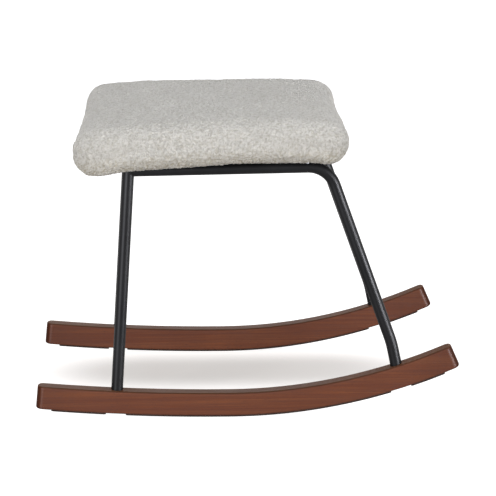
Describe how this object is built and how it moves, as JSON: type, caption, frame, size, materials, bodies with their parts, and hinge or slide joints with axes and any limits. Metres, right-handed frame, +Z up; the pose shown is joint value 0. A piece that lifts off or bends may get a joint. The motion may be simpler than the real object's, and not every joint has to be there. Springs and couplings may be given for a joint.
{
  "type": "rocking footstool",
  "caption": "Rocking footstool: a crowned upholstered seat on bent tube side frames, bolted to curved wooden rockers with felt glides.",
  "frame": {"origin": "on the floor, below the middle of the rockers' length and width", "axes": "+X along the rockers towards the raised front tips, +Y across the seat towards the left side, +Z up"},
  "size_m": [0.5787, 0.4242, 0.414],
  "materials": {
    "rocker_wood": "satin oiled hardwood, fine grain along the rocker",
    "glide_felt": "pressed felt strip",
    "frame_paint": "satin black powder coat",
    "fastener_steel": "zinc plated",
    "board_plywood": "raw moulded plywood",
    "seat_foam": "open-cell foam",
    "cover_fabric": "pale looped upholstery fabric",
    "dust_fabric": "thin black non-woven cloth"
  },
  "bodies": {
    "root": {"left_rocker": "rocker_wood", "right_rocker": "rocker_wood", "left_rear_glide": "glide_felt", "left_middle_glide": "glide_felt", "left_front_glide": "glide_felt", "right_rear_glide": "glide_felt", "right_middle_glide": "glide_felt", "right_front_glide": "glide_felt", "left_rail_and_front_leg": "frame_paint", "right_rail_and_front_leg": "frame_paint", "left_rear_leg": "frame_paint", "right_rear_leg": "frame_paint", "front_cross_tube": "frame_paint", "rear_cross_tube": "frame_paint", "front_left_plate": "frame_paint", "front_right_plate": "frame_paint", "rear_left_plate": "frame_paint", "rear_right_plate": "frame_paint", "leg_plugs": "fastener_steel", "rocker_bolts": "fastener_steel", "rocker_washers": "fastener_steel", "seat_bolts": "fastener_steel", "seat_washers": "fastener_steel", "tee_nuts": "fastener_steel", "seat_board": "board_plywood", "seat_foam": "seat_foam", "seat_cover": "cover_fabric", "dust_cover": "dust_fabric"}
  },
  "joints": []
}
